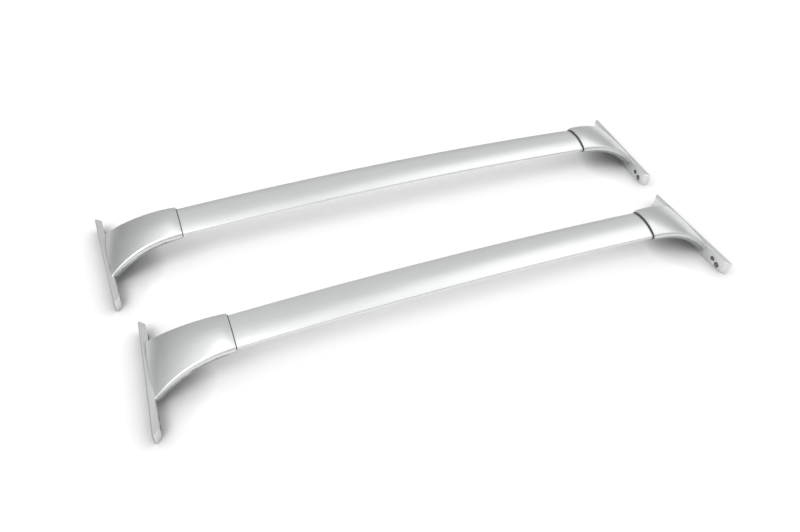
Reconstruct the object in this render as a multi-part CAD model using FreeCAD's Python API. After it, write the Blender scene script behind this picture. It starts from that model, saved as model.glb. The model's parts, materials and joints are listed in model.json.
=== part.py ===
import FreeCAD, Part
import math
import os

# A pair of roof crossbars, one shorter than the other, lying side by side.
# Millimetres. X runs along the bars, Z is up and the floor is at Z = 0.
# The short bar lies at negative Y and the long bar at positive Y.

Vector = FreeCAD.Vector
UP = Vector(0, 0, 1)
ALONG = Vector(1, 0, 0)
ACROSS = Vector(0, 1, 0)
ORIGIN = Vector(0, 0, 0)

# The pair: lengths over the outer faces of the rail pads, and how the two lie
SHORT_LENGTH = 950.0
LONG_LENGTH = 1000.0
BAR_SPACING = 248.2
SHORT_BAR_SHIFT = 4.0
SHORT_BAR_TOE = 2.4
LONG_BAR_TOE = -2.4

# Bar extrusion: an aerofoil section, pitched nose down and arched along its length
BAR_WIDTH = 58.0
BAR_NOSE_RADIUS = 3.2
BAR_CROWN = 8.4
BAR_BELLY = 10.5
BAR_BELLY_FLAT = 26.0
BAR_BELLY_RADIUS = 6.0
BAR_WALL = 2.0
BAR_WEB = 1.8
BAR_CHAMBER = 24.0
BAR_NOSE_FILL = 4.5
BAR_PITCH = 5.5
BAR_ARCH_RADIUS = 7040.0
JOINT_HEIGHT = 66.2

# Foot: the arm from the bar's end down to the rail plate
FOOT_LENGTH = 125.0
MOUTH_SKIN = 2.6
MOUTH_RISE = 1.2
SOCKET_DEPTH = 18.0
SOCKET_FLOOR = 6.0
SOCKET_CLEARANCE = 0.2
TONGUE_LENGTH = 58.0
TONGUE_CLEARANCE = 0.2
ROOT_NEAR = 44.0
ROOT_FAR = 57.0
LATE_FLARE = 0.65
ROOT_NOSE_RADIUS = 2.5
ARM_CROWN_LOW = 5.0
ARM_CROWN_LOW_AT = 0.8
WALL_LEAN = 8.0
CASTING_WALL = 3.0
RIB_THICKNESS = 3.0
HOLLOW_END_GAP = 6.0
HOLLOW_ROOF_WIDTH_SHARE = 0.5
HOLLOW_ROOF_RISE_SHARE = 0.75

# Depths below the arm's edge, square to its slope, at the mouth and at the plate
PARTING_MOUTH = 2.2
PARTING_ROOT = 7.2
LIP_MOUTH = 4.2
LIP_ROOT = 10.2
BASE_MOUTH = 13.6
BASE_ROOT = 12.4
BASE_CHAMFER_MOUTH = 12.5
BASE_CHAMFER_ROOT = 3.0

# Under cover
LIP_PROUD = 0.5
COVER_WALL = 2.4
COVER_FLOOR = 2.2
COVER_CLEARANCE = 0.2

# Rail plate and its rubber pad
PLATE_LENGTH = 199.0
PLATE_HEIGHT = 24.5
PLATE_THICKNESS = 8.8
PLATE_END_RAKE = 2.4
PLATE_BEVEL = 7.5
PLATE_END_LAND = 1.2
PLATE_EDGE_CHAMFER = 0.7
PAD_THICKNESS = 1.5
PAD_INSET = 0.8
PAD_HOLE_CLEARANCE = 0.5

# Bolt holes at each end of the plate: half their distance apart, height and diameter
INNER_HOLE_HALF_PITCH = 67.0
INNER_HOLE_HEIGHT = 12.4
INNER_HOLE_DIAMETER = 9.0
OUTER_HOLE_HALF_PITCH = 79.0
OUTER_HOLE_HEIGHT = 7.8
OUTER_HOLE_DIAMETER = 10.5

# Gasket at the mouth
GASKET_THICKNESS = 1.4
GASKET_RECESS = 1.3
GASKET_CLEARANCE = 0.05

# Screws that hold the bar on the tongue, and the cover on its bosses
BAR_SCREW_DIAMETER = 6.0
BAR_SCREW_LENGTH = 12.0
BAR_SCREW_HEAD_DIAMETER = 10.5
BAR_SCREW_HEAD_HEIGHT = 3.4
BAR_SCREW_FIRST = 12.0
BAR_SCREW_PITCH = 18.0
COVER_SCREW_DIAMETER = 4.0
COVER_SCREW_LENGTH = 12.0
COVER_SCREW_HEAD_DIAMETER = 8.0
COVER_SCREW_HEAD_HEIGHT = 2.6
COVER_SCREW_STATIONS = (0.38, 0.74)
COVER_SCREW_SEAT = 0.8
SCREW_CLEARANCE = 0.1
SCREW_SEAT_GAP = 0.01
BOSS_WALL = 2.6
SCREW_HEAD_CHAMFER = 0.8
HEX_DRIVE_SHARE = 0.45
HEX_DRIVE_DEPTH_SHARE = 0.6

# Stations along the arm, as shares of the way from the mouth to the plate
ARM_STATIONS = (0.0, 0.16, 0.34, 0.52, 0.68, 0.84, 1.0, 1.14)
HOLLOW_STATION_COUNT = 6

# A length that is past the object in every direction
FAR_AWAY = 400.0
# How far one solid is run into another before a cut or a join
OVERRUN = 1.5
# How many bevels long the wedge is that cuts a bevel, so that it reaches past the plate's end
WEDGE_OVERSIZE = 3

MOUTH_HALF = BAR_WIDTH / 2 + MOUTH_SKIN
ROOT_STATION = FOOT_LENGTH - PAD_THICKNESS - PLATE_THICKNESS


def section_point(y, z):
    """A point of a cross-section, which lies in the plane X = 0."""
    return Vector(0, y, z)


def tangent_normal(from_centre, from_radius, to_centre, to_radius):
    """Outward normal of the line that touches two circles on their right and lower side."""
    across = to_centre[0] - from_centre[0]
    down = to_centre[1] - from_centre[1]
    angle = math.atan2(down, across) + math.acos((from_radius - to_radius) / math.hypot(across, down))
    return math.cos(angle), math.sin(angle)


def crown_radius(half_width, nose_radius, crown):
    """Radius of the crown arc that touches both nose circles and stands at the given height."""
    reach = half_width - nose_radius
    return (reach ** 2 + crown ** 2 - nose_radius ** 2) / (2 * (crown - nose_radius))


def bar_outline(inset):
    """The bar's outline, moved inwards by the inset: crown, noses, flanks, belly corners and flat."""
    half = BAR_WIDTH / 2
    nose = (half - BAR_NOSE_RADIUS, 0.0)
    nose_radius = BAR_NOSE_RADIUS - inset
    corner = (BAR_BELLY_FLAT / 2, BAR_BELLY_RADIUS - BAR_BELLY)
    corner_radius = BAR_BELLY_RADIUS - inset
    big = crown_radius(half, BAR_NOSE_RADIUS, BAR_CROWN)
    centre_z = BAR_CROWN - big
    flank = tangent_normal(nose, nose_radius, corner, corner_radius)
    to_nose = math.atan2(nose[1] - centre_z, nose[0])
    top = (nose[0] + nose_radius * math.cos(to_nose), nose[1] + nose_radius * math.sin(to_nose))
    flank_angle = math.atan2(flank[1], flank[0])
    mid_nose = (to_nose + flank_angle) / 2
    mid_corner = (flank_angle - math.pi / 2) / 2
    right = [
        (corner[0], corner[1] - corner_radius),
        (corner[0] + corner_radius * math.cos(mid_corner), corner[1] + corner_radius * math.sin(mid_corner)),
        (corner[0] + corner_radius * flank[0], corner[1] + corner_radius * flank[1]),
        (nose[0] + nose_radius * flank[0], nose[1] + nose_radius * flank[1]),
        (nose[0] + nose_radius * math.cos(mid_nose), nose[1] + nose_radius * math.sin(mid_nose)),
        top,
    ]
    far = [section_point(y, z) for y, z in right]
    near = [section_point(-y, z) for y, z in right]
    apex = section_point(0, BAR_CROWN - inset)
    edges = [
        Part.LineSegment(near[0], far[0]),
        Part.Arc(far[0], far[1], far[2]),
        Part.LineSegment(far[2], far[3]),
        Part.Arc(far[3], far[4], far[5]),
        Part.Arc(far[5], apex, near[5]),
        Part.Arc(near[5], near[4], near[3]),
        Part.LineSegment(near[3], near[2]),
        Part.Arc(near[2], near[1], near[0]),
    ]
    return Part.Wire([edge.toShape() for edge in edges])


def arch_centre_height(joint_x):
    """Height of the arch's centre, so that the section's centre has the joint's height at the mouth."""
    return JOINT_HEIGHT - math.sqrt(BAR_ARCH_RADIUS ** 2 - joint_x ** 2)


def along_arch(section, joint_x, start_x, end_x):
    """Runs a section face along the bar's arch, between two places on the bar's length."""
    centre = Vector(0, 0, arch_centre_height(joint_x))
    start = math.degrees(math.asin(start_x / BAR_ARCH_RADIUS))
    end = math.degrees(math.asin(end_x / BAR_ARCH_RADIUS))
    face = section.copy()
    face.rotate(ORIGIN, ALONG, BAR_PITCH)
    face.translate(Vector(0, 0, centre.z + BAR_ARCH_RADIUS))
    face.rotate(centre, ACROSS, start)
    return face.revolve(centre, ACROSS, end - start)


def upright_strip(width, middle):
    """An upright face across the whole section, of a width and about a middle."""
    strip = Part.makePlane(width, BAR_WIDTH, ORIGIN, ALONG, ACROSS)
    strip.translate(section_point(middle, 0) - strip.CenterOfMass)
    return strip


def web_faces():
    """The two upright webs of the section, as faces across the hollow."""
    middle = (BAR_CHAMBER + BAR_WEB) / 2
    return [upright_strip(BAR_WEB, side * middle) for side in (-1, 1)]


def inner_face(inset, width):
    """The part of the inset outline that lies within a width about the section's middle."""
    strip = upright_strip(width, 0.0)
    return Part.Face(bar_outline(inset)).common(strip)


def build_bar(joint_x):
    """The arched extrusion: skin, two webs and three chambers, with its screw holes."""
    end_x = joint_x + SOCKET_DEPTH
    hollow = inner_face(BAR_WALL, BAR_WIDTH - 2 * BAR_NOSE_FILL).cut(web_faces())
    section = Part.Face(bar_outline(0.0)).cut(hollow.Faces)
    bar = along_arch(section.Faces[0], joint_x, -end_x, end_x)
    for screw in bar_screw_places(joint_x):
        hole = screw_hole(screw, BAR_SCREW_DIAMETER, BAR_SCREW_LENGTH)
        bar = bar.cut([hole, mirrored(hole)])
    return bar


def tongue(joint_x):
    """The spigot of the casting that fills the middle chamber of the bar's end."""
    fit = inner_face(BAR_WALL + TONGUE_CLEARANCE, BAR_CHAMBER - 2 * TONGUE_CLEARANCE)
    end_x = joint_x + SOCKET_DEPTH + OVERRUN
    return along_arch(fit.Faces[0], joint_x, end_x - TONGUE_LENGTH, end_x)


def bar_mass(joint_x, inset, start_x, end_x):
    """A solid run of the bar's outline, used to cut its socket."""
    return along_arch(Part.Face(bar_outline(inset)), joint_x, start_x, end_x)


def arm_path(station, joint_x):
    """Drop and slope of the arm at a distance from the mouth: straight over the socket, then an arc."""
    start_slope = math.asin(joint_x / BAR_ARCH_RADIUS)
    if station <= SOCKET_DEPTH:
        return station * math.tan(start_slope), start_slope
    run = ROOT_STATION - SOCKET_DEPTH
    lead_drop = SOCKET_DEPTH * math.tan(start_slope)
    drop = JOINT_HEIGHT - PLATE_HEIGHT - lead_drop
    end_slope = 2 * math.atan2(drop, run) - start_slope
    radius = run / (math.sin(end_slope) - math.sin(start_slope))
    slope = math.asin(math.sin(start_slope) + (station - SOCKET_DEPTH) / radius)
    return lead_drop + radius * (math.cos(start_slope) - math.cos(slope)), slope


def blend(mouth, root, share):
    """A size between its value at the mouth and its value at the plate."""
    return mouth + (root - mouth) * share


def spline(poles):
    """A curve of a cross-section from its control points: a line, a parabola or a rounded corner."""
    curve = Part.BezierCurve()
    curve.setPoles([section_point(y, z) for y, z in poles])
    return curve


class ArmSection:
    """The sizes of the arm's cross-section at one station."""

    def __init__(self, share, joint_x):
        self.station = share * ROOT_STATION
        drop, slope = arm_path(self.station, joint_x)
        steep = 1 / math.cos(slope)
        flare = blend(share, share ** 3, LATE_FLARE)
        near = blend(MOUTH_HALF, ROOT_NEAR, flare)
        far = blend(MOUTH_HALF, ROOT_FAR, flare)
        self.half = (near + far) / 2
        self.middle = (far - near) / 2
        fade = max(0.0, self.station - SOCKET_DEPTH) / (ROOT_STATION - SOCKET_DEPTH)
        held = max(0.0, 1 - fade)
        self.pitch = BAR_PITCH * held
        self.height = JOINT_HEIGHT + MOUTH_RISE * held - drop
        self.nose = blend(ROOT_NOSE_RADIUS, BAR_NOSE_RADIUS + MOUTH_SKIN, held)
        swell = (1 - fade / ARM_CROWN_LOW_AT) ** 2
        self.crown = ARM_CROWN_LOW + (BAR_CROWN + MOUTH_SKIN - ARM_CROWN_LOW) * swell
        early = 1 - max(0.0, 1 - share) ** 2
        self.parting = blend(PARTING_MOUTH, PARTING_ROOT, early) * steep
        self.lip = blend(LIP_MOUTH, LIP_ROOT, early) * steep
        self.base = blend(BASE_MOUTH, BASE_ROOT, share) * steep
        self.chamfer = blend(BASE_CHAMFER_MOUTH, BASE_CHAMFER_ROOT, share)
        self.joint_x = joint_x

    def wall(self, depth):
        """Half width of the arm at a depth below its edge."""
        lean = math.radians(WALL_LEAN)
        return self.half - self.nose + self.nose / math.cos(lean) - depth * math.tan(lean)

    def placed(self, curves):
        """Sets a wire of this section at its station, with its pitch and height."""
        wire = Part.Wire([curve.toShape() for curve in curves])
        wire.rotate(ORIGIN, ALONG, self.pitch)
        wire.translate(Vector(self.joint_x + self.station, self.middle, self.height))
        return wire

    def polygon(self, half_outline):
        """A wire from a half outline that is the same on both sides, from the bottom up."""
        far = [section_point(y, z) for y, z in half_outline]
        near = [section_point(-y, z) for y, z in half_outline]
        points = far + near[::-1]
        pairs = zip(points, points[1:] + points[:1])
        return self.placed([Part.LineSegment(start, end) for start, end in pairs])

    def casting(self):
        """Outer outline of the casting, run a little below the parting line."""
        lean = math.radians(WALL_LEAN)
        big = crown_radius(self.half, self.nose, self.crown)
        centre = self.half - self.nose
        top_angle = math.atan2(big - self.crown, centre)
        handle = 4 / 3 * math.tan((top_angle + lean) / 4) * self.nose
        floor = self.parting + OVERRUN
        foot = (self.wall(floor), -floor)
        low = (centre + self.nose * math.cos(lean), -self.nose * math.sin(lean))
        low_handle = (low[0] + handle * math.sin(lean), low[1] + handle * math.cos(lean))
        high = (centre + self.nose * math.cos(top_angle), self.nose * math.sin(top_angle))
        high_handle = (high[0] + handle * math.sin(top_angle), high[1] - handle * math.cos(top_angle))
        peak = (0.0, high[1] + high[0] / math.tan(top_angle))
        far_nose = [low, low_handle, high_handle, high]
        near_nose = [(-y, z) for y, z in reversed(far_nose)]
        return self.placed([
            spline([(-foot[0], foot[1]), foot]),
            spline([foot, low]),
            spline(far_nose),
            spline([high, peak, near_nose[0]]),
            spline(near_nose),
            spline([near_nose[-1], (-foot[0], foot[1])]),
        ])

    def casting_cavity(self):
        """Outline of the hollow inside the casting, open below."""
        half = self.wall(self.parting) - CASTING_WALL
        shoulder = self.nose - CASTING_WALL
        floor = self.parting + OVERRUN
        return self.polygon([
            (half, -floor),
            (half, shoulder),
            (half * HOLLOW_ROOF_WIDTH_SHARE, shoulder + (self.crown - self.nose) * HOLLOW_ROOF_RISE_SHARE),
        ])

    def cover(self):
        """Outer outline of the under cover, with its lip and chamfered base."""
        return self.polygon([
            (self.wall(self.lip) + LIP_PROUD - self.chamfer, -self.base),
            (self.wall(self.lip) + LIP_PROUD, -self.lip),
            (self.wall(self.parting) + LIP_PROUD, -self.parting),
        ])

    def cover_cavity(self):
        """Outline of the hollow in the under cover, open above."""
        half = self.wall(self.parting) + LIP_PROUD - COVER_WALL
        floor = self.base - COVER_FLOOR
        return self.polygon([
            (half - self.chamfer, -floor),
            (half, COVER_FLOOR - self.lip),
            (half, OVERRUN - self.parting),
        ])


def arm_loft(outline, joint_x):
    """Lofts an outer outline of the arm smoothly through its stations."""
    wires = [outline(ArmSection(share, joint_x)) for share in ARM_STATIONS]
    return Part.makeLoft(wires, True, False)


def hollow_loft(outline, joint_x):
    """Lofts a hollow of the arm from behind the socket's floor almost to the plate, in straight runs."""
    start = (SOCKET_DEPTH + SOCKET_FLOOR) / ROOT_STATION
    end = 1 - HOLLOW_END_GAP / ROOT_STATION
    last = HOLLOW_STATION_COUNT - 1
    shares = [blend(start, end, number / last) for number in range(HOLLOW_STATION_COUNT)]
    wires = [outline(ArmSection(share, joint_x)) for share in shares]
    return Part.makeLoft(wires, True, True)


def mirrored(shape):
    """The same shape at the other end of the bar."""
    return shape.mirror(ORIGIN, ALONG)


def toed(shape, half_length, toe):
    """Turns a shape about the upright line through the middle of the plate's outer face."""
    turned = shape.copy()
    turned.rotate(Vector(half_length, 0, 0), UP, toe)
    return turned


def past_plane(half_length, toe, inset):
    """All that lies outside an upright plane parallel to the plate's outer face."""
    box = Part.makeBox(FAR_AWAY, 2 * FAR_AWAY, 2 * FAR_AWAY)
    box.translate(Vector(half_length - inset, -FAR_AWAY, -FAR_AWAY))
    return toed(box, half_length, toe)


def polygon_face(points):
    """A flat face with straight edges."""
    return Part.Face(Part.makePolygon(points + points[:1]))


def raked_face(x, inset):
    """The plate's outline seen along the bar, moved inwards by the inset: a trapezium, longer at the top."""
    top = PLATE_LENGTH / 2 - inset
    bottom = top - PLATE_END_RAKE
    corners = ((-bottom, inset), (bottom, inset), (top, PLATE_HEIGHT - inset), (-top, PLATE_HEIGHT - inset))
    return polygon_face([Vector(x, y, z) for y, z in corners])


def build_plate(half_length, toe):
    """The rail plate: raked ends whose inner corners are bevelled in plan, and chamfered edges."""
    outer = half_length - PAD_THICKNESS
    inner = outer - PLATE_THICKNESS
    plate = raked_face(inner, 0.0).extrude(ALONG * PLATE_THICKNESS)
    end = PLATE_LENGTH / 2 - PLATE_END_RAKE
    run = Vector(PLATE_THICKNESS - PLATE_END_LAND, PLATE_BEVEL, 0)
    start = Vector(inner, end - PLATE_BEVEL, 0) - run
    corners = [start, start + run * WEDGE_OVERSIZE, start + ACROSS * PLATE_BEVEL * WEDGE_OVERSIZE]
    wedge = polygon_face(corners).extrude(Vector(0, PLATE_END_RAKE, PLATE_HEIGHT))
    plate = plate.cut([wedge, wedge.mirror(ORIGIN, ACROSS)])
    soft = [edge for edge in plate.Edges if edge.BoundBox.XMax < outer - PLATE_END_LAND / 2]
    return toed(plate.makeChamfer(PLATE_EDGE_CHAMFER, soft), half_length, toe)


def plate_holes(half_length, toe, clearance):
    """The bolt holes of one plate, square to its face."""
    start = half_length - PAD_THICKNESS - PLATE_THICKNESS - OVERRUN
    depth = PLATE_THICKNESS + PAD_THICKNESS + 2 * OVERRUN
    holes = []
    patterns = (
        (INNER_HOLE_HALF_PITCH, INNER_HOLE_HEIGHT, INNER_HOLE_DIAMETER),
        (OUTER_HOLE_HALF_PITCH, OUTER_HOLE_HEIGHT, OUTER_HOLE_DIAMETER),
    )
    for half_pitch, height, diameter in patterns:
        for side in (-1, 1):
            place = Vector(start, side * half_pitch, height)
            hole = Part.makeCylinder(diameter / 2 + clearance, depth, place, ALONG)
            holes.append(toed(hole, half_length, toe))
    return holes


def build_pad(half_length, toe):
    """The rubber sheet on the plate's outer face, with its holes a little larger than the plate's."""
    sheet = raked_face(half_length - PAD_THICKNESS, PAD_INSET).extrude(ALONG * PAD_THICKNESS)
    return toed(sheet, half_length, toe).cut(plate_holes(half_length, toe, PAD_HOLE_CLEARANCE))


def bar_screw_places(joint_x):
    """Seat and upward direction of each screw that holds the bar on the tongue."""
    places = []
    centre = Vector(0, 0, arch_centre_height(joint_x))
    for number in range(2):
        x = joint_x - GASKET_THICKNESS - BAR_SCREW_FIRST - number * BAR_SCREW_PITCH
        turn = FreeCAD.Rotation(ACROSS, math.degrees(math.asin(x / BAR_ARCH_RADIUS)))
        pitch = FreeCAD.Rotation(ALONG, BAR_PITCH)
        upright = pitch.multVec(UP)
        seat = UP * BAR_ARCH_RADIUS - upright * (BAR_BELLY + SCREW_SEAT_GAP)
        places.append((centre + turn.multVec(seat), turn.multVec(upright)))
    return places


def cover_screw_places(joint_x):
    """Seat and upward direction of each screw that holds the under cover."""
    places = []
    for share in COVER_SCREW_STATIONS:
        section = ArmSection(share, joint_x)
        slope = arm_path(section.station, joint_x)[1]
        direction = Vector(math.sin(slope), 0, math.cos(slope))
        edge = Vector(joint_x + section.station, section.middle, section.height)
        depth = blend(BASE_MOUTH, BASE_ROOT, share) - COVER_SCREW_SEAT
        places.append((edge - direction * depth, direction))
    return places


def screw_hole(place, diameter, length):
    """The hole for a screw's shank, from its seat upwards."""
    seat, direction = place
    start = seat - direction * OVERRUN
    return Part.makeCylinder(diameter / 2 + SCREW_CLEARANCE, length + 2 * OVERRUN, start, direction)


def screw_seat(place, head_diameter, head_height):
    """The flat that a screw's head sits on."""
    seat, direction = place
    start = seat - direction * (head_height + OVERRUN)
    return Part.makeCylinder(head_diameter / 2 + SCREW_CLEARANCE, head_height + OVERRUN, start, direction)


def build_screw(place, diameter, length, head_diameter, head_height):
    """A chamfered button-head screw with a hexagon drive, its head below the seat and its shank above."""
    seat, direction = place
    rim = head_diameter / 2
    profile = [
        Vector(0, 0, length),
        Vector(diameter / 2, 0, length),
        Vector(diameter / 2, 0, 0),
        Vector(rim, 0, 0),
        Vector(rim, 0, SCREW_HEAD_CHAMFER - head_height),
        Vector(rim - SCREW_HEAD_CHAMFER, 0, -head_height),
        Vector(0, 0, -head_height),
    ]
    screw = polygon_face(profile).revolve(ORIGIN, UP, 360)
    corner = head_diameter * HEX_DRIVE_SHARE / 2
    turns = [number * math.pi / 3 for number in range(6)]
    hexagon = [Vector(corner * math.cos(turn), corner * math.sin(turn), -head_height) for turn in turns]
    drive = polygon_face(hexagon).extrude(UP * head_height * HEX_DRIVE_DEPTH_SHARE)
    screw = screw.cut(drive)
    screw.Placement = FreeCAD.Placement(seat, FreeCAD.Rotation(UP, direction))
    return screw


def build_gasket(joint_x):
    """The seal ring round the bar at the mouth, run along the slope that the bar has there."""
    around = Part.Face(bar_outline(GASKET_RECESS - MOUTH_SKIN))
    ring = around.cut(Part.Face(bar_outline(-GASKET_CLEARANCE)))
    ring.rotate(ORIGIN, ALONG, BAR_PITCH)
    ring.translate(Vector(joint_x, 0, JOINT_HEIGHT))
    rise = GASKET_THICKNESS * math.tan(math.asin(joint_x / BAR_ARCH_RADIUS))
    return ring.Faces[0].extrude(Vector(-GASKET_THICKNESS, 0, rise))


def build_foot(half_length, toe):
    """The four pieces that make up the foot at the bar's positive end, by name."""
    joint_x = half_length - FOOT_LENGTH
    arm = arm_loft(ArmSection.casting, joint_x)
    base = arm_loft(ArmSection.cover, joint_x)
    socket_end = joint_x + SOCKET_DEPTH + SOCKET_CLEARANCE
    socket = bar_mass(joint_x, -SOCKET_CLEARANCE, joint_x - OVERRUN, socket_end)
    plate_reach = PAD_THICKNESS + PLATE_THICKNESS
    past_plate = past_plane(half_length, toe, PAD_THICKNESS)
    screws = cover_screw_places(joint_x)

    cover = base.cut(past_plane(half_length, toe, plate_reach + COVER_CLEARANCE))
    cover = cover.cut([hollow_loft(ArmSection.cover_cavity, joint_x), socket])

    body = arm.cut([base, past_plate])
    rib = Part.makeBox(FAR_AWAY, RIB_THICKNESS, FAR_AWAY)
    rib.translate(Vector(joint_x + SOCKET_DEPTH + SOCKET_FLOOR / 2, -RIB_THICKNESS / 2, 0))
    rib = rib.common(body)
    envelope = arm.fuse(base).cut(past_plate)
    bosses = []
    for seat, direction in screws:
        boss = Part.makeCylinder(COVER_SCREW_DIAMETER / 2 + BOSS_WALL, JOINT_HEIGHT, seat, direction)
        bosses.append(boss.common(envelope).cut(cover))
    casting = body.cut([hollow_loft(ArmSection.casting_cavity, joint_x), socket])
    casting = casting.fuse([rib] + bosses + [build_plate(half_length, toe), tongue(joint_x).cut(cover)])
    casting = casting.cut(plate_holes(half_length, toe, 0.0))
    for screw in screws:
        hole = screw_hole(screw, COVER_SCREW_DIAMETER, COVER_SCREW_LENGTH)
        casting = casting.cut(hole)
        cover = cover.cut([hole, screw_seat(screw, COVER_SCREW_HEAD_DIAMETER, COVER_SCREW_HEAD_HEIGHT)])
    for screw in bar_screw_places(joint_x):
        casting = casting.cut(screw_hole(screw, BAR_SCREW_DIAMETER, BAR_SCREW_LENGTH))
    return {
        "foot_casting": casting.removeSplitter(),
        "under_cover": cover,
        "joint_gasket": build_gasket(joint_x),
        "rail_pad": build_pad(half_length, toe),
    }


def screw_group(places, diameter, length, head_diameter, head_height):
    """Identical screws at both ends of a bar, as separate solids."""
    right = [build_screw(place, diameter, length, head_diameter, head_height) for place in places]
    left = [mirrored(screw) for screw in right]
    return Part.makeCompound(left + right)


def build_crossbar(name, length, toe, place):
    """One crossbar with its two feet, as named shapes set in their place."""
    half_length = length / 2
    joint_x = half_length - FOOT_LENGTH
    nodes = {
        name + "_bar_extrusion": build_bar(joint_x),
        name + "_bar_screws": screw_group(
            bar_screw_places(joint_x), BAR_SCREW_DIAMETER, BAR_SCREW_LENGTH,
            BAR_SCREW_HEAD_DIAMETER, BAR_SCREW_HEAD_HEIGHT),
        name + "_cover_screws": screw_group(
            cover_screw_places(joint_x), COVER_SCREW_DIAMETER, COVER_SCREW_LENGTH,
            COVER_SCREW_HEAD_DIAMETER, COVER_SCREW_HEAD_HEIGHT),
    }
    for piece, shape in build_foot(half_length, toe).items():
        nodes[name + "_right_" + piece] = shape
        nodes[name + "_left_" + piece] = mirrored(shape)
    for shape in nodes.values():
        shape.translate(place)
    return nodes


def build_pair():
    """Both crossbars, side by side."""
    short_place = Vector(SHORT_BAR_SHIFT, -BAR_SPACING / 2, 0)
    long_place = Vector(0, BAR_SPACING / 2, 0)
    nodes = build_crossbar("short", SHORT_LENGTH, SHORT_BAR_TOE, short_place)
    nodes.update(build_crossbar("long", LONG_LENGTH, LONG_BAR_TOE, long_place))
    return nodes


os.makedirs("parts", exist_ok=True)
for node, shape in build_pair().items():
    shape.exportStep("parts/" + node + ".step")
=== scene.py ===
"""Looks, light and camera for a pair of roof crossbars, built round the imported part's frame."""

import json
import logging
import math
from dataclasses import dataclass, field
from enum import Enum
from typing import Any, Optional

import bpy
from mathutils import Matrix, Vector

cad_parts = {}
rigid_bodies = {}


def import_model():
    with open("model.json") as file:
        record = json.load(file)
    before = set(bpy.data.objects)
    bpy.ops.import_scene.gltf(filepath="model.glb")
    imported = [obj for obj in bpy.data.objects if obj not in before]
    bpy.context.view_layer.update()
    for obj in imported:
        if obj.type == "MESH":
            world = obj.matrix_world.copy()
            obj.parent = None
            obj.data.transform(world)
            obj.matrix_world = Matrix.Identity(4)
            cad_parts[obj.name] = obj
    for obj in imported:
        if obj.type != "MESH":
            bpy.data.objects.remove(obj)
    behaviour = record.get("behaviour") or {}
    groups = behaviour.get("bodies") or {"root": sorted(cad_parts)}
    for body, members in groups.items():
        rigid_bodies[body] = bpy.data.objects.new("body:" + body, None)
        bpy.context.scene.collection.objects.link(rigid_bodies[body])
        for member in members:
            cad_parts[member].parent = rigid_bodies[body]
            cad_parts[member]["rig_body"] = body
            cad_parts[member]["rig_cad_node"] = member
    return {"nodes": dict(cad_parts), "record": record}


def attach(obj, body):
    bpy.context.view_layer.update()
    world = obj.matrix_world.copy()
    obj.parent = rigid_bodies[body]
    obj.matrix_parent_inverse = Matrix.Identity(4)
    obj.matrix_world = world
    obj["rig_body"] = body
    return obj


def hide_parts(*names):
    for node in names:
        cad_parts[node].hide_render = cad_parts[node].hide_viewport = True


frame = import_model()

LOG = logging.getLogger("crossbars")
MM = 0.001
BODY = "root"
IMAGE_WIDTH = 800
SENSOR_WIDTH = 36.0

# How a finish's fine grain and broad cloud are mixed and spread over its colours
GRAIN_SHARE = 0.6
GRAIN_DETAIL = 3.0
CLOUD_DETAIL = 2.0
LOW_STOP = 0.3
HIGH_STOP = 0.7

# How far from a hole's radius and direction a face of its wall may be
BORE_SLACK = 1.03
BORE_TILT = 0.3

Colour = tuple[float, float, float]


class Slot(Enum):
    """The record's material slots."""

    BAR = "bar_silver"
    FOOT = "foot_silver"
    COVER = "cover_silver"
    GASKET = "gasket_rubber"
    PAD = "pad_rubber"
    SCREW = "screw_steel"


class End(Enum):
    """The two ends of a crossbar, by the side of X that they lie on."""

    LEFT = "left"
    RIGHT = "right"


class Wire:
    """A shader socket whose arithmetic adds Math nodes to its tree."""

    def __init__(self, tree: "ShaderTree", socket: Optional[bpy.types.NodeSocket]) -> None:
        """Keeps the socket and its tree.

        Args:
            tree: the tree that holds the socket's node.
            socket: the output that this wire carries, or none for a node without outputs.
        """
        self.tree = tree
        self.socket = socket

    def _maths(self, operation: str, first: Any, second: Any) -> "Wire":
        """Adds one Math node.

        Args:
            operation: the Math node's operation.
            first: its first value or wire.
            second: its second value or wire.

        Returns:
            The node's output.
        """
        return self.tree.node("ShaderNodeMath", {"operation": operation}, {0: first, 1: second})

    def __add__(self, other: Any) -> "Wire":
        """This value plus another."""
        return self._maths("ADD", self, other)

    def __radd__(self, other: Any) -> "Wire":
        """Another value plus this one."""
        return self._maths("ADD", other, self)

    def __sub__(self, other: Any) -> "Wire":
        """This value less another."""
        return self._maths("SUBTRACT", self, other)

    def __rsub__(self, other: Any) -> "Wire":
        """Another value less this one."""
        return self._maths("SUBTRACT", other, self)

    def __mul__(self, other: Any) -> "Wire":
        """This value times another."""
        return self._maths("MULTIPLY", self, other)

    def __rmul__(self, other: Any) -> "Wire":
        """Another value times this one."""
        return self._maths("MULTIPLY", other, self)


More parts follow.
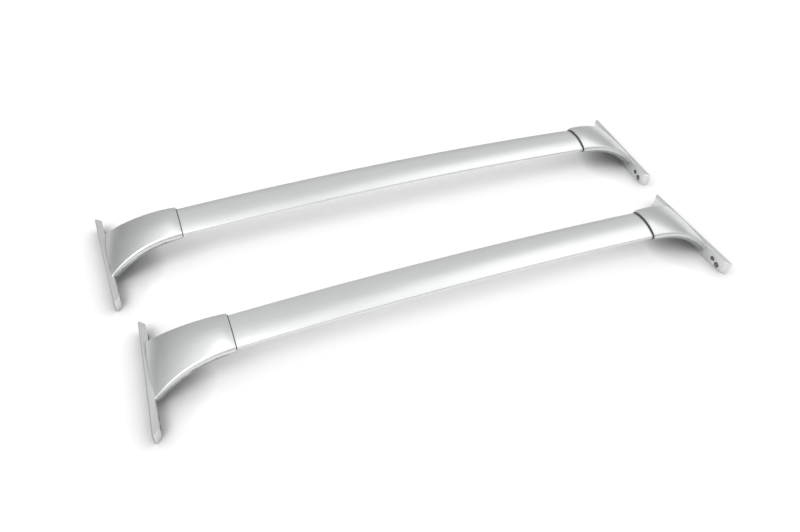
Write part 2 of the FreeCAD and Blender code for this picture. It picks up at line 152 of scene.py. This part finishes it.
class ShaderTree:
    """A node tree that is filled by one method."""

    def __init__(self, tree: bpy.types.NodeTree) -> None:
        """Empties the tree.

        Args:
            tree: a material's or the world's node tree.
        """
        self.tree = tree
        self.tree.nodes.clear()

    def node(self, kind: str, settings: Optional[dict[str, Any]] = None,
             inputs: Optional[dict[Any, Any]] = None, output: Any = 0) -> Wire:
        """Adds a node, sets it up and links it.

        Args:
            kind: the node's type name.
            settings: its properties; "stops" sets a colour ramp's places and colours.
            inputs: values or wires for its sockets, by name or number.
            output: name or number of the output to return.

        Returns:
            The chosen output, or an empty wire for a node without outputs.
        """
        made = self.tree.nodes.new(kind)
        for name, value in (settings or {}).items():
            if name == "stops":
                self._set_stops(made.color_ramp, value)
            else:
                setattr(made, name, value)
        for key, value in (inputs or {}).items():
            socket = made.inputs[key]
            if isinstance(value, Wire):
                self.tree.links.new(value.socket, socket)
            elif isinstance(value, tuple) and socket.type == "RGBA":
                socket.default_value = (*value, 1.0)
            else:
                socket.default_value = value
        return Wire(self, made.outputs[output]) if made.outputs else Wire(self, None)

    @staticmethod
    def _set_stops(ramp: bpy.types.ColorRamp, stops: tuple[tuple[float, Colour], ...]) -> None:
        """Sets a ramp's stops.

        Args:
            ramp: the ramp to set.
            stops: place and colour of each stop, in order.
        """
        while len(ramp.elements) < len(stops):
            ramp.elements.new(1.0)
        for element, (place, colour) in zip(ramp.elements, stops):
            element.position = place
            element.color = (*colour, 1.0)


@dataclass(frozen=True)
class Finish:
    """A surface finish: a base colour and roughness, each varied by fine noise."""

    name: str
    colour: Colour
    roughness: float
    metallic: float = 0.0
    colour_spread: float = 0.05
    roughness_spread: float = 0.06
    grain_per_metre: float = 900.0
    stretch: tuple[float, float, float] = (1.0, 1.0, 1.0)
    cloud_per_metre: float = 14.0
    bump_height: float = 0.00002

    def material(self) -> bpy.types.Material:
        """Makes the finish's material.

        Returns:
            A material that reads Object coordinates only.
        """
        material = bpy.data.materials.new(self.name)
        material.use_nodes = True
        tree = ShaderTree(material.node_tree)
        place = tree.node("ShaderNodeTexCoord", output="Object")
        grain = self._noise(tree, place, self.grain_per_metre, self.stretch, GRAIN_DETAIL)
        cloud = self._noise(tree, place, self.cloud_per_metre, (1.0, 1.0, 1.0), CLOUD_DETAIL)
        shade = grain * GRAIN_SHARE + cloud * (1 - GRAIN_SHARE)
        low = tuple(channel * (1 - self.colour_spread) for channel in self.colour)
        high = tuple(min(1.0, channel * (1 + self.colour_spread)) for channel in self.colour)
        stops = ((LOW_STOP, low), (HIGH_STOP, high))
        colour = tree.node("ShaderNodeValToRGB", {"stops": stops}, {"Fac": shade}, "Color")
        roughness = self.roughness + (shade - 0.5) * (2 * self.roughness_spread)
        bump = tree.node("ShaderNodeBump", inputs={
            "Strength": 1.0,
            "Distance": self.bump_height,
            "Height": grain,
        }, output="Normal")
        surface = tree.node("ShaderNodeBsdfPrincipled", inputs={
            "Base Color": colour,
            "Metallic": self.metallic,
            "Roughness": roughness,
            "Normal": bump,
        }, output="BSDF")
        tree.node("ShaderNodeOutputMaterial", inputs={"Surface": surface})
        return material

    @staticmethod
    def _noise(tree: ShaderTree, place: Wire, scale: float, stretch: tuple[float, float, float],
               detail: float) -> Wire:
        """Adds a noise pattern.

        Args:
            tree: the tree to add to.
            place: the coordinates to read.
            scale: cells per metre.
            stretch: share of the scale along each axis.
            detail: octaves of the noise.

        Returns:
            The noise value, about 0.5 on average.
        """
        spread = tree.node("ShaderNodeMapping", inputs={"Vector": place, "Scale": stretch})
        settings = {"Vector": spread, "Scale": scale, "Detail": detail}
        return tree.node("ShaderNodeTexNoise", inputs=settings, output="Fac")


FINISHES: dict[Slot, Finish] = {
    Slot.BAR: Finish("satin anodised bar", (0.83, 0.84, 0.84), 0.33, metallic=1.0,
                     colour_spread=0.02, roughness_spread=0.05, grain_per_metre=700.0,
                     stretch=(0.02, 1.0, 1.0), bump_height=0.000004),
    Slot.FOOT: Finish("silver painted casting", (0.77, 0.78, 0.78), 0.33, metallic=1.0,
                      colour_spread=0.03, roughness_spread=0.05, grain_per_metre=1400.0,
                      bump_height=0.000008),
    # The moulding's silver is set much darker than the casting's: its own paint, darkened with painted
    # shade for the feet's undersides.
    Slot.COVER: Finish("silver painted moulding", (0.44, 0.45, 0.45), 0.48, metallic=0.9,
                       colour_spread=0.03, grain_per_metre=1100.0, bump_height=0.00001),
    Slot.GASKET: Finish("black seal rubber", (0.045, 0.045, 0.045), 0.62, colour_spread=0.15),
    Slot.PAD: Finish("grey pad rubber", (0.36, 0.36, 0.36), 0.75, colour_spread=0.12, grain_per_metre=600.0,
                     bump_height=0.00005),
    Slot.SCREW: Finish("zinc plated steel", (0.70, 0.70, 0.68), 0.30, metallic=1.0, colour_spread=0.04),
}

# Darker finish for the walls of the plates' bolt holes: the bare drilled wall, darkened with painted shade
# in the bores.
BORE_PAINTED_SHADE = Finish("drilled bore with painted shade", (0.26, 0.26, 0.26), 0.55, metallic=0.8, colour_spread=0.12,
                   grain_per_metre=900.0, bump_height=0.00003)


class FinishShelf:
    """Makes each finish's material once and hands it out."""

    def __init__(self) -> None:
        """Starts with no materials."""
        self._made: dict[Finish, bpy.types.Material] = {}

    def take(self, finish: Finish) -> bpy.types.Material:
        """Gives a finish's material.

        Args:
            finish: the finish that is wanted.

        Returns:
            The material, made at the first call.
        """
        if finish not in self._made:
            self._made[finish] = finish.material()
        return self._made[finish]


@dataclass(frozen=True)
class Bore:
    """A drilled hole, known by a point on its axis, its direction and its radius."""

    point: Vector
    axis: Vector
    radius: float

    def holds(self, place: Vector, normal: Vector) -> bool:
        """Says whether a face is part of the hole's wall.

        Args:
            place: the face's middle.
            normal: the face's normal.

        Returns:
            True for a face within the hole that runs along its axis.
        """
        off_axis = (place - self.point).cross(self.axis).length
        return off_axis < self.radius * BORE_SLACK and abs(normal.dot(self.axis)) < BORE_TILT


def plate_bores(prefix: str) -> list[Bore]:
    """Lists the bolt holes of one foot's plate from the record's mounts.

    Args:
        prefix: start of the mounts' names, such as short_left_.

    Returns:
        The plate's holes.
    """
    bores = []
    for mount in frame["record"]["mounts"]:
        if mount["kind"] != "bolt_pattern" or not mount["name"].startswith(prefix):
            continue
        middle = Vector(mount["pos_m"])
        axis = Vector(mount["axis"]).normalized()
        along = axis.cross(Vector((0.0, 0.0, 1.0))) * (mount["dims"]["pcd_mm"] * MM / 2)
        radius = mount["dims"]["hole_r_mm"] * MM
        bores += [Bore(middle + along, axis, radius), Bore(middle - along, axis, radius)]
    return bores


def deselect_all() -> None:
    """Leaves nothing selected, in object mode."""
    if bpy.context.object is not None and bpy.context.object.mode != "OBJECT":
        bpy.ops.object.mode_set(mode="OBJECT")
    bpy.ops.object.select_all(action="DESELECT")


def pick(piece: bpy.types.Object) -> None:
    """Makes one object the only selected and active one.

    Args:
        piece: the object to pick.
    """
    deselect_all()
    piece.select_set(True)
    bpy.context.view_layer.objects.active = piece


@dataclass
class DressedNode:
    """A finished copy of one CAD node: merged, smoothed and given its finish, with painted shade on the
    walls of any bolt holes.
    """

    node: str
    slot: Slot
    bores: list[Bore] = field(default_factory=list)
    smooth_angle: float = math.radians(32)
    merge_distance: float = 2e-6

    def build(self, shelf: FinishShelf) -> bpy.types.Object:
        """Copies the node, merges its triangles and shades it smooth across gentle bends.

        Args:
            shelf: where the material comes from.

        Returns:
            The piece that stands for the node.
        """
        source = frame["nodes"][self.node]
        piece = source.copy()
        piece.data = source.data.copy()
        piece.name = self.node + "_dressed"
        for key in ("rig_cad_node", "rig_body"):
            if key in piece:
                del piece[key]
        piece.parent = None
        bpy.context.scene.collection.objects.link(piece)
        pick(piece)
        bpy.ops.object.mode_set(mode="EDIT")
        bpy.ops.mesh.select_all(action="SELECT")
        bpy.ops.mesh.remove_doubles(threshold=self.merge_distance)
        bpy.ops.object.mode_set(mode="OBJECT")
        bpy.ops.object.shade_smooth_by_angle(angle=self.smooth_angle)
        bpy.ops.object.modifier_add(type="WEIGHTED_NORMAL")
        weighted = piece.modifiers[-1]
        weighted.keep_sharp = True
        weighted.mode = "FACE_AREA"
        bpy.ops.object.modifier_apply(modifier=weighted.name)
        piece.data.materials.clear()
        piece.data.materials.append(shelf.take(FINISHES[self.slot]))
        # Faces inside the bolt holes take the darker finish: painted shade in the bores.
        if self.bores:
            piece.data.materials.append(shelf.take(BORE_PAINTED_SHADE))
            for face in piece.data.polygons:
                face.material_index = int(any(bore.holds(face.center, face.normal) for bore in self.bores))
        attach(piece, BODY)
        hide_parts(self.node)
        LOG.info("dressed %s: %d faces", self.node, len(piece.data.polygons))
        return piece


@dataclass
class Foot:
    """The foot at one end of a crossbar: casting, under cover, gasket and rail pad."""

    bar: str
    end: End
    pieces: dict[str, Slot] = field(default_factory=lambda: {
        "foot_casting": Slot.FOOT,
        "under_cover": Slot.COVER,
        "joint_gasket": Slot.GASKET,
        "rail_pad": Slot.PAD,
    })

    def build(self, shelf: FinishShelf) -> list[bpy.types.Object]:
        """Dresses the foot's nodes.

        Args:
            shelf: where the materials come from.

        Returns:
            The foot's pieces.
        """
        prefix = f"{self.bar}_{self.end.value}_"
        made = []
        for piece, slot in self.pieces.items():
            bores = plate_bores(prefix) if slot is Slot.FOOT else []
            made.append(DressedNode(prefix + piece, slot, bores).build(shelf))
        return made


@dataclass
class Crossbar:
    """One crossbar: its extrusion, both feet and its screws."""

    name: str

    def build(self, shelf: FinishShelf) -> list[bpy.types.Object]:
        """Dresses the whole crossbar.

        Args:
            shelf: where the materials come from.

        Returns:
            All of its pieces.
        """
        made = [
            DressedNode(self.name + "_bar_extrusion", Slot.BAR).build(shelf),
            DressedNode(self.name + "_bar_screws", Slot.SCREW).build(shelf),
            DressedNode(self.name + "_cover_screws", Slot.SCREW).build(shelf),
        ]
        for end in End:
            made += Foot(self.name, end).build(shelf)
        return made


@dataclass
class Camera:
    """The photograph's viewpoint, found by fitting the rail plates' corners and the bars' outlines."""

    place: Vector = field(default_factory=lambda: Vector((-396.68, -752.30, 828.48)) * MM)
    yaw: float = math.radians(25.585)
    pitch: float = math.radians(45.66)
    roll: float = math.radians(4.889)
    focal_pixels: float = 688.6

    def build(self) -> bpy.types.Object:
        """Makes the camera and sets it as the scene's.

        Returns:
            The camera object.
        """
        across = math.cos(self.pitch)
        ahead = Vector((math.sin(self.yaw) * across, math.cos(self.yaw) * across, -math.sin(self.pitch)))
        level = Vector((math.cos(self.yaw), -math.sin(self.yaw), 0.0))
        upright = level.cross(ahead)
        right = level * math.cos(self.roll) + upright * math.sin(self.roll)
        top = upright * math.cos(self.roll) - level * math.sin(self.roll)
        lens = bpy.data.cameras.new("photo camera")
        lens.sensor_width = SENSOR_WIDTH
        lens.lens = self.focal_pixels / IMAGE_WIDTH * SENSOR_WIDTH
        camera = bpy.data.objects.new("photo camera", lens)
        turn = Matrix((right, top, -ahead)).transposed()
        camera.matrix_world = Matrix.Translation(self.place) @ turn.to_4x4()
        bpy.context.scene.collection.objects.link(camera)
        bpy.context.scene.camera = camera
        return camera


@dataclass(frozen=True)
class SkyPatch:
    """A round patch of sky that is lighter or dimmer than the rest, with a soft edge; angles in degrees."""

    bearing: float
    elevation: float
    full: float
    edge: float
    strength: float

    def wire(self, tree: ShaderTree, look: Wire) -> Wire:
        """Adds the patch's nodes.

        Args:
            tree: the world's tree.
            look: the direction that a ray leaves in.

        Returns:
            The patch's strength in the middle and zero past its edge.
        """
        bearing = math.radians(self.bearing)
        elevation = math.radians(self.elevation)
        across = math.cos(elevation)
        centre = (across * math.cos(bearing), across * math.sin(bearing), math.sin(elevation))
        settings = {"operation": "DOT_PRODUCT"}
        nearness = tree.node("ShaderNodeVectorMath", settings, {0: look, 1: centre}, "Value")
        return tree.node("ShaderNodeMapRange", {"interpolation_type": "SMOOTHSTEP"}, {
            "Value": nearness,
            "From Min": math.cos(math.radians(self.edge)),
            "From Max": math.cos(math.radians(self.full)),
            "To Max": self.strength,
        })


@dataclass
class Studio:
    """White floor with painted contact shadow, under a soft sky with a small key, two soft boxes and a dim
    corner.
    """

    floor_size: float = 16.0
    floor_shade: float = 0.83
    floor_glow: float = 0.12
    mirrored_share: float = 0.4
    painted_shadow_reach: float = 0.05
    painted_shadow_depth: float = 0.65
    painted_shadow_samples: int = 16
    sky: tuple[tuple[float, Colour], ...] = (
        (0.50, (0.22, 0.22, 0.22)),
        (0.59, (0.47, 0.47, 0.47)),
        (0.67, (0.65, 0.65, 0.65)),
        (0.75, (0.66, 0.66, 0.66)),
    )
    key: SkyPatch = SkyPatch(bearing=222, elevation=56, full=5, edge=19, strength=6.0)
    left_box: SkyPatch = SkyPatch(bearing=203, elevation=38, full=36, edge=63, strength=0.45)
    right_box: SkyPatch = SkyPatch(bearing=350, elevation=53, full=8, edge=32, strength=0.7)
    dim_corner: SkyPatch = SkyPatch(bearing=140, elevation=6, full=20, edge=45, strength=-0.22)

    def build(self) -> None:
        """Makes the floor and the world."""
        self._floor()
        self._world()

    def _floor(self) -> None:
        """Makes a floor that shows white to the camera, takes shadows and has painted shadow near the
        object, in its colour and its glow.
        """
        deselect_all()
        bpy.ops.mesh.primitive_plane_add(size=self.floor_size)
        floor = bpy.context.object
        floor.name = "studio floor"
        material = bpy.data.materials.new("floor paint")
        material.use_nodes = True
        tree = ShaderTree(material.node_tree)
        # The AO value paints shade into the floor near the object: it darkens the floor's colour and fades
        # its white glow there, also in what the metal mirrors. This is a painted contact shadow on top of
        # the real shadows from the sky.
        settings = {"samples": self.painted_shadow_samples}
        clear = tree.node("ShaderNodeAmbientOcclusion", settings, {"Distance": self.painted_shadow_reach}, "AO")
        shade = (clear * self.painted_shadow_depth + (1 - self.painted_shadow_depth)) * self.floor_shade
        paint = tree.node("ShaderNodeBsdfDiffuse", inputs={"Color": shade})
        glow = tree.node("ShaderNodeEmission", inputs={
            "Color": self._seen(tree) * clear * clear * clear,
            "Strength": self.floor_glow,
        })
        lit = tree.node("ShaderNodeAddShader", inputs={0: paint, 1: glow})
        tree.node("ShaderNodeOutputMaterial", inputs={"Surface": lit})
        floor.data.materials.append(material)

    def _world(self) -> None:
        """Makes the light round the object, and a white backdrop where the camera looks past the floor."""
        world = bpy.data.worlds.new("studio sky")
        world.use_nodes = True
        bpy.context.scene.world = world
        tree = ShaderTree(world.node_tree)
        look = tree.node("ShaderNodeTexCoord", output="Generated")
        height = tree.node("ShaderNodeSeparateXYZ", inputs={0: look}, output="Z")
        level = tree.node("ShaderNodeValToRGB", {"stops": self.sky}, {"Fac": height * 0.5 + 0.5}, "Color")
        for patch in (self.key, self.left_box, self.right_box, self.dim_corner):
            level = level + patch.wire(tree, look)
        soft = tree.node("ShaderNodeBackground", inputs={"Color": level, "Strength": 1.0})
        white = tree.node("ShaderNodeBackground", inputs={"Color": (1.0, 1.0, 1.0), "Strength": 1.0})
        seen = tree.node("ShaderNodeLightPath", output="Is Camera Ray")
        mixed = tree.node("ShaderNodeMixShader", inputs={0: seen, 1: soft, 2: white})
        tree.node("ShaderNodeOutputWorld", inputs={"Surface": mixed})

    def _seen(self, tree: ShaderTree) -> Wire:
        """Says where a ray comes from the camera or from a glossy or clear surface.

        Args:
            tree: the tree to add to.

        Returns:
            One for the camera's rays, the mirrored share for glossy and clear ones, and zero for others.
        """
        camera = tree.node("ShaderNodeLightPath", output="Is Camera Ray")
        glossy = tree.node("ShaderNodeLightPath", output="Is Glossy Ray")
        through = tree.node("ShaderNodeLightPath", output="Is Transmission Ray")
        return camera + (glossy + through) * self.mirrored_share


def main() -> None:
    """Builds both crossbars, the studio and the camera."""
    logging.basicConfig(level=logging.INFO, format="%(message)s")
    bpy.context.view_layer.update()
    shelf = FinishShelf()
    for name in ("short", "long"):
        pieces = Crossbar(name).build(shelf)
        LOG.info("%s crossbar: %d pieces", name, len(pieces))
    Studio().build()
    Camera().build()
    scene = bpy.context.scene
    scene.view_settings.view_transform = "Standard"


if __name__ == "__main__":
    main()
